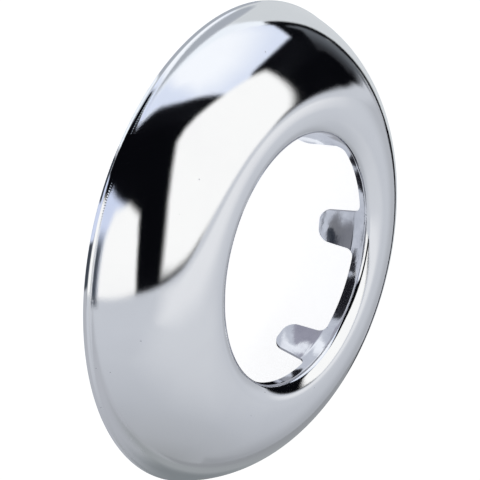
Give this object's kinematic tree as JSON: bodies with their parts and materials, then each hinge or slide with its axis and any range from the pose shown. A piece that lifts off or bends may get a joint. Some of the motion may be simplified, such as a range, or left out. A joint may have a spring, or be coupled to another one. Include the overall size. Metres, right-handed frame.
{
  "type": "pipe rosette",
  "caption": "Shallow domed cover ring of pressed sheet with a short collar and inward-leaning spring tongues; slides over a pipe and hides the hole it comes out of.",
  "frame": {"origin": "centre of the rim, in the plane that the rim stands on", "axes": "+Z along the axis towards the domed front; +X and +Y lie in the rim's plane, with the first tongue 50 degrees from +X towards +Y"},
  "size_m": [0.065, 0.065, 0.0112],
  "materials": {
    "rosette": "bright chrome plating on pressed sheet metal"
  },
  "bodies": {
    "root": {"rosette": "rosette"}
  },
  "joints": []
}
